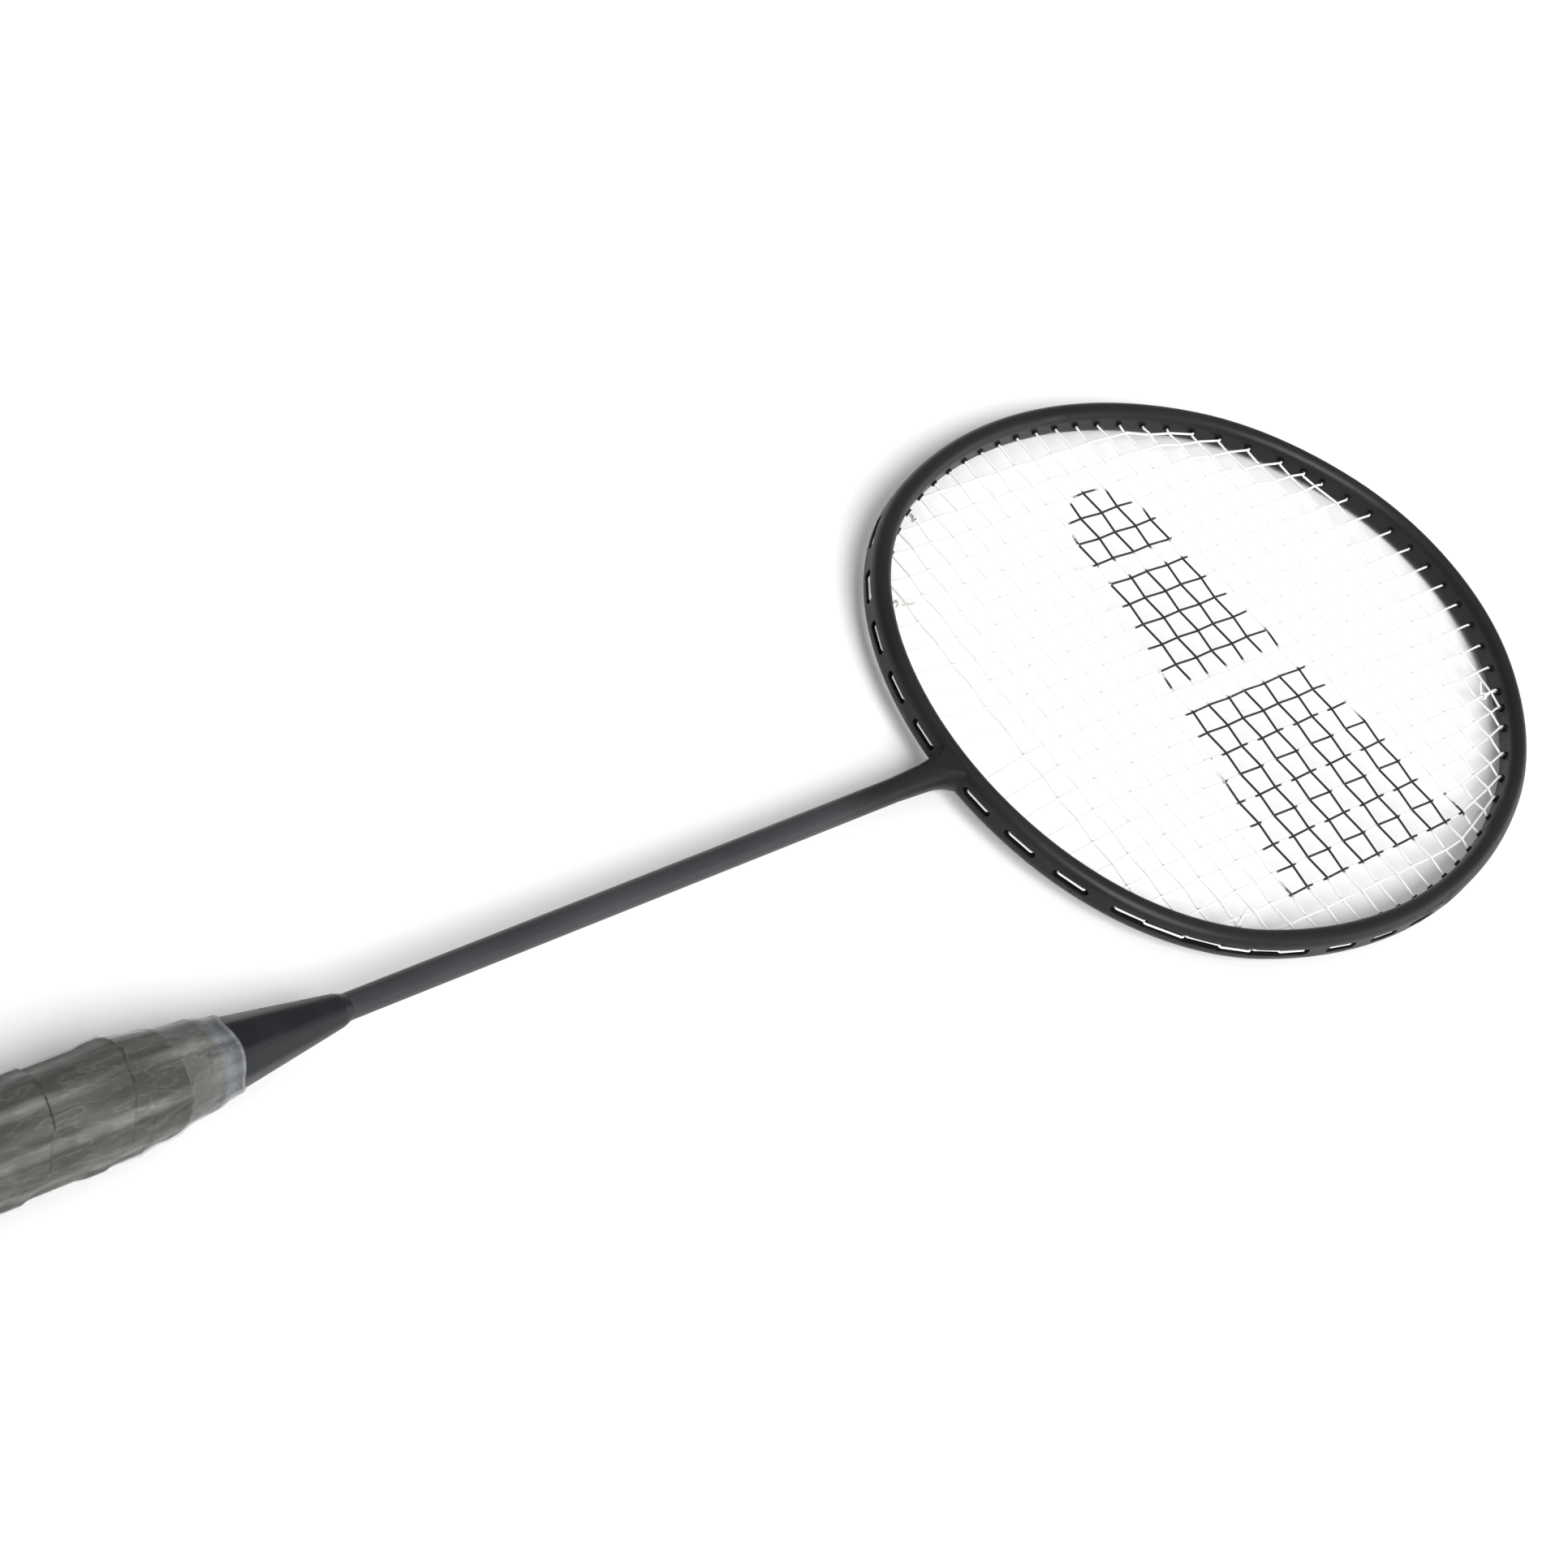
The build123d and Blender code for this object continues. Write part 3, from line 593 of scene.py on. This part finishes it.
# The film ends under the end band.  It creases lengthwise, puckers at the overlaps and waves gently.
FILM_SHORT = 2.6 * MM
FILM_WALL = 0.14 * MM
FILM_SINK = 0.28 * MM
FILM_LIFT = 0.12 * MM
CREASE_HEIGHT = 0.22 * MM
PUCKER_HEIGHT = 0.32 * MM
PUCKER_REACH = 0.11
WAVE_HEIGHT = 0.22 * MM
film_low, film_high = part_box("grip_film")
film_rows = rows_between(film_low.y, film_high.y - FILM_SHORT)
film_base = eased(skin("grip_film", film_rows), 5)
film_through = winding(film_rows)
film_step = rise(film_through, 0.05) * OVERLAP_STEP - FILM_SINK
film_step = np.where(film_rows > tape_high.y - 1 * MM, 0.3 * film_step, film_step)
near_edge = np.exp(-((np.minimum(film_through, 1 - film_through) / PUCKER_REACH) ** 2))
long_creases = 1 - np.abs(lumps(film_rows, 4.0, 38.0, 21.0)) * 3.2
film_wrinkle = np.clip(long_creases, 0, 1) ** 3 * CREASE_HEIGHT
film_pucker = lumps(film_rows, 5.0, 330.0, 31.0) * near_edge * PUCKER_HEIGHT
film_wave = lumps(film_rows, 2.0, 60.0, 41.0) * WAVE_HEIGHT
film_outer = film_base + film_step + film_wrinkle + film_pucker + film_wave + FILM_LIFT
film_inner = film_outer - FILM_WALL
sleeve("film_sleeve", film_rows, film_outer, film_inner, FILM, "film_clear", "grip_film")

# The band's front edge lies back on the faces that look up and to the right, and again underneath.
FACING = math.radians(22.4)
EDGE_BACK = 2.6 * MM
EDGE_SAG = 0.8 * MM
EDGE_TURN = 0.66
BAND_WALL = 0.3 * MM
BAND_LUMPS = 0.12 * MM
band_low, band_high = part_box("film_end_band")
swing = np.abs(np.sin(angles - FACING))
edge_rise = np.clip((swing - EDGE_TURN) / (1 - EDGE_TURN), 0, 1)
edge_y = band_high.y - EDGE_BACK * (1 - edge_rise**2) - EDGE_SAG * np.sin(2 * (angles - FACING)) ** 2
band_rows = rows_between(band_low.y, edge_y)
band_base = eased(skin("film_end_band", band_rows), 3)
band_outer = band_base + lumps(band_rows, 5.0, 420.0, 51.0) * BAND_LUMPS
band_outer = band_outer - ends_tucked(band_rows, 0.15 * MM, 0.8 * MM)
band_inner = band_outer - BAND_WALL
sleeve("end_band", band_rows, band_outer, band_inner, BAND, "band_clear", "film_end_band")

# The front edge of the band is rolled into a pale bead.
BEAD_BACK = 1.1 * MM
BEAD_FRONT = 0.1 * MM
BEAD_HEIGHT = 0.24 * MM
BEAD_RIPPLE = 0.08 * MM
BEAD_LIFT = 0.04 * MM
rim_rows = rows_between(edge_y - BEAD_BACK, edge_y + BEAD_FRONT)
rim_radii = eased(skin("film_end_band", rim_rows), 3)
rim_share = np.linspace(0, math.pi, len(rim_rows))[:, None]
rim_ripple = lumps(rim_rows, 9.0, 0.0, 61.0) * BEAD_RIPPLE
rim_outer = rim_radii + np.sin(rim_share) * BEAD_HEIGHT + rim_ripple + BEAD_LIFT
sleeve("band_rim", rim_rows, rim_outer, rim_radii - BAND_WALL, RIM, "band_clear")

# The cone has eight soft flats where it leaves the handle, and they fade out towards its round collar.
CONE_BORE = 3.53 * MM
CONE_WALL = 1.2 * MM
COLLAR_WALL = 0.05 * MM
FLAT_SHARE = 0.6
cone_low, cone_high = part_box("cone_cap")
cone_rows = rows_between(cone_low.y, cone_high.y)
cone_skin = skin("cone_cap", cone_rows)
side_angle = TURN / FACETS
off_flat = np.abs((angles + side_angle / 2) % side_angle - side_angle / 2)
flatness = eased(math.cos(side_angle / 2) / np.cos(off_flat)[None, :], 3)
blend = FLAT_SHARE * np.clip((cone_high.y - cone_rows) / (cone_high.y - edge_y.mean()), 0, 1)
cone_outer = cone_skin * (1 - blend * (1 - flatness))
cone_outer = np.maximum(cone_outer, CONE_BORE + COLLAR_WALL)
cone_inner = np.maximum(cone_outer - CONE_WALL, CONE_BORE)
sleeve("cone_shell", cone_rows, cone_outer, cone_inner, CONE_COAT, "cone_plastic", "cone_cap")


# --- floor, light and camera -------------------------------------------------------------------------

# The racket lies on its grip and the tip of its head, so the floor rises a little towards the head.
BUTT_TOUCH_Y = 60 * MM
GRIP_CLEARANCE = 0.6 * MM
TIP_INSET = 3 * MM
TIP_CLEARANCE = 0.3 * MM
butt_touch = Vector((0, BUTT_TOUCH_Y, cad_low.z - GRIP_CLEARANCE))
hoop_low, hoop_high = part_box("head_frame")
tip_touch = Vector((0, hoop_high.y - TIP_INSET, hoop_low.z - TIP_CLEARANCE))
along = (tip_touch - butt_touch).normalized()
floor_mesh = bpy.data.meshes.new("floor")
FLOOR_HALF = 6.0
corners = [(-1, -1), (1, -1), (1, 1), (-1, 1)]
middle = (butt_touch + tip_touch) / 2
sideways = Vector((1, 0, 0))
floor_points = [middle + sideways * a * FLOOR_HALF + along * b * FLOOR_HALF for a, b in corners]
floor_mesh.from_pydata(floor_points, [], [(0, 1, 2, 3)])
floor = bpy.data.objects.new("floor", floor_mesh)
bpy.context.scene.collection.objects.link(floor)
floor_mesh.materials.append(studio_floor("studio_floor"))

WORLD_STRENGTH = 0.37
world = bpy.data.worlds.new("studio")
bpy.context.scene.world = world
world.use_nodes = True
world.node_tree.nodes["Background"].inputs["Color"].default_value = (1.0, 1.0, 1.0, 1.0)
world.node_tree.nodes["Background"].inputs["Strength"].default_value = WORLD_STRENGTH


def softbox(name, place, aim, width, height, watts):
    data = bpy.data.lights.new(name, "AREA")
    data.shape = "RECTANGLE"
    data.size = width
    data.size_y = height
    data.energy = watts
    light = bpy.data.objects.new(name, data)
    light.location = place
    light.rotation_mode = "QUATERNION"
    light.rotation_quaternion = (Vector(aim) - Vector(place)).to_track_quat("-Z", "Y")
    bpy.context.scene.collection.objects.link(light)


# One softbox is overhead.  The other is low beyond the head, and lights the flats that face right.
softbox("top", (-0.2, 0.7, 2.2), (0, 0.4, 0), 2.0, 2.0, 8)
softbox("far", (1.3, 2.4, 0.55), (0, 0.3, 0), 2.4, 0.9, 14)

# The key is a broad even light from the right, half way up, so the floor has no hot spot.
KEY_STRENGTH = 3.2
KEY_SPREAD = math.radians(38)
KEY_FROM = (0.62, -0.30, 0.72)
key_data = bpy.data.lights.new("key", "SUN")
key_data.energy = KEY_STRENGTH
key_data.angle = KEY_SPREAD
key = bpy.data.objects.new("key", key_data)
key.rotation_mode = "QUATERNION"
key.rotation_quaternion = Vector(KEY_FROM).to_track_quat("Z", "Y")
bpy.context.scene.collection.objects.link(key)

# The camera's place and two of its axes; the lens is for a sensor of this width.
CAMERA_PLACE = (0.30637, -0.42484, 0.74980)
CAMERA_RIGHT = (0.585110, 0.669111, 0.458188)
CAMERA_UP = (-0.760616, 0.256844, 0.596234)
CAMERA_LENS = 96.12
CAMERA_SENSOR = 36.0
camera_data = bpy.data.cameras.new("camera")
camera_data.sensor_width = CAMERA_SENSOR
camera_data.lens = CAMERA_LENS
camera_data.clip_start = 0.01
camera_data.clip_end = 50.0
camera = bpy.data.objects.new("camera", camera_data)
right, up = Vector(CAMERA_RIGHT), Vector(CAMERA_UP)
turned = Matrix((right, up, right.cross(up))).transposed()
camera.matrix_world = Matrix.Translation(CAMERA_PLACE) @ turned.to_4x4()
bpy.context.scene.collection.objects.link(camera)
bpy.context.scene.camera = camera
bpy.context.scene.view_settings.view_transform = "Standard"
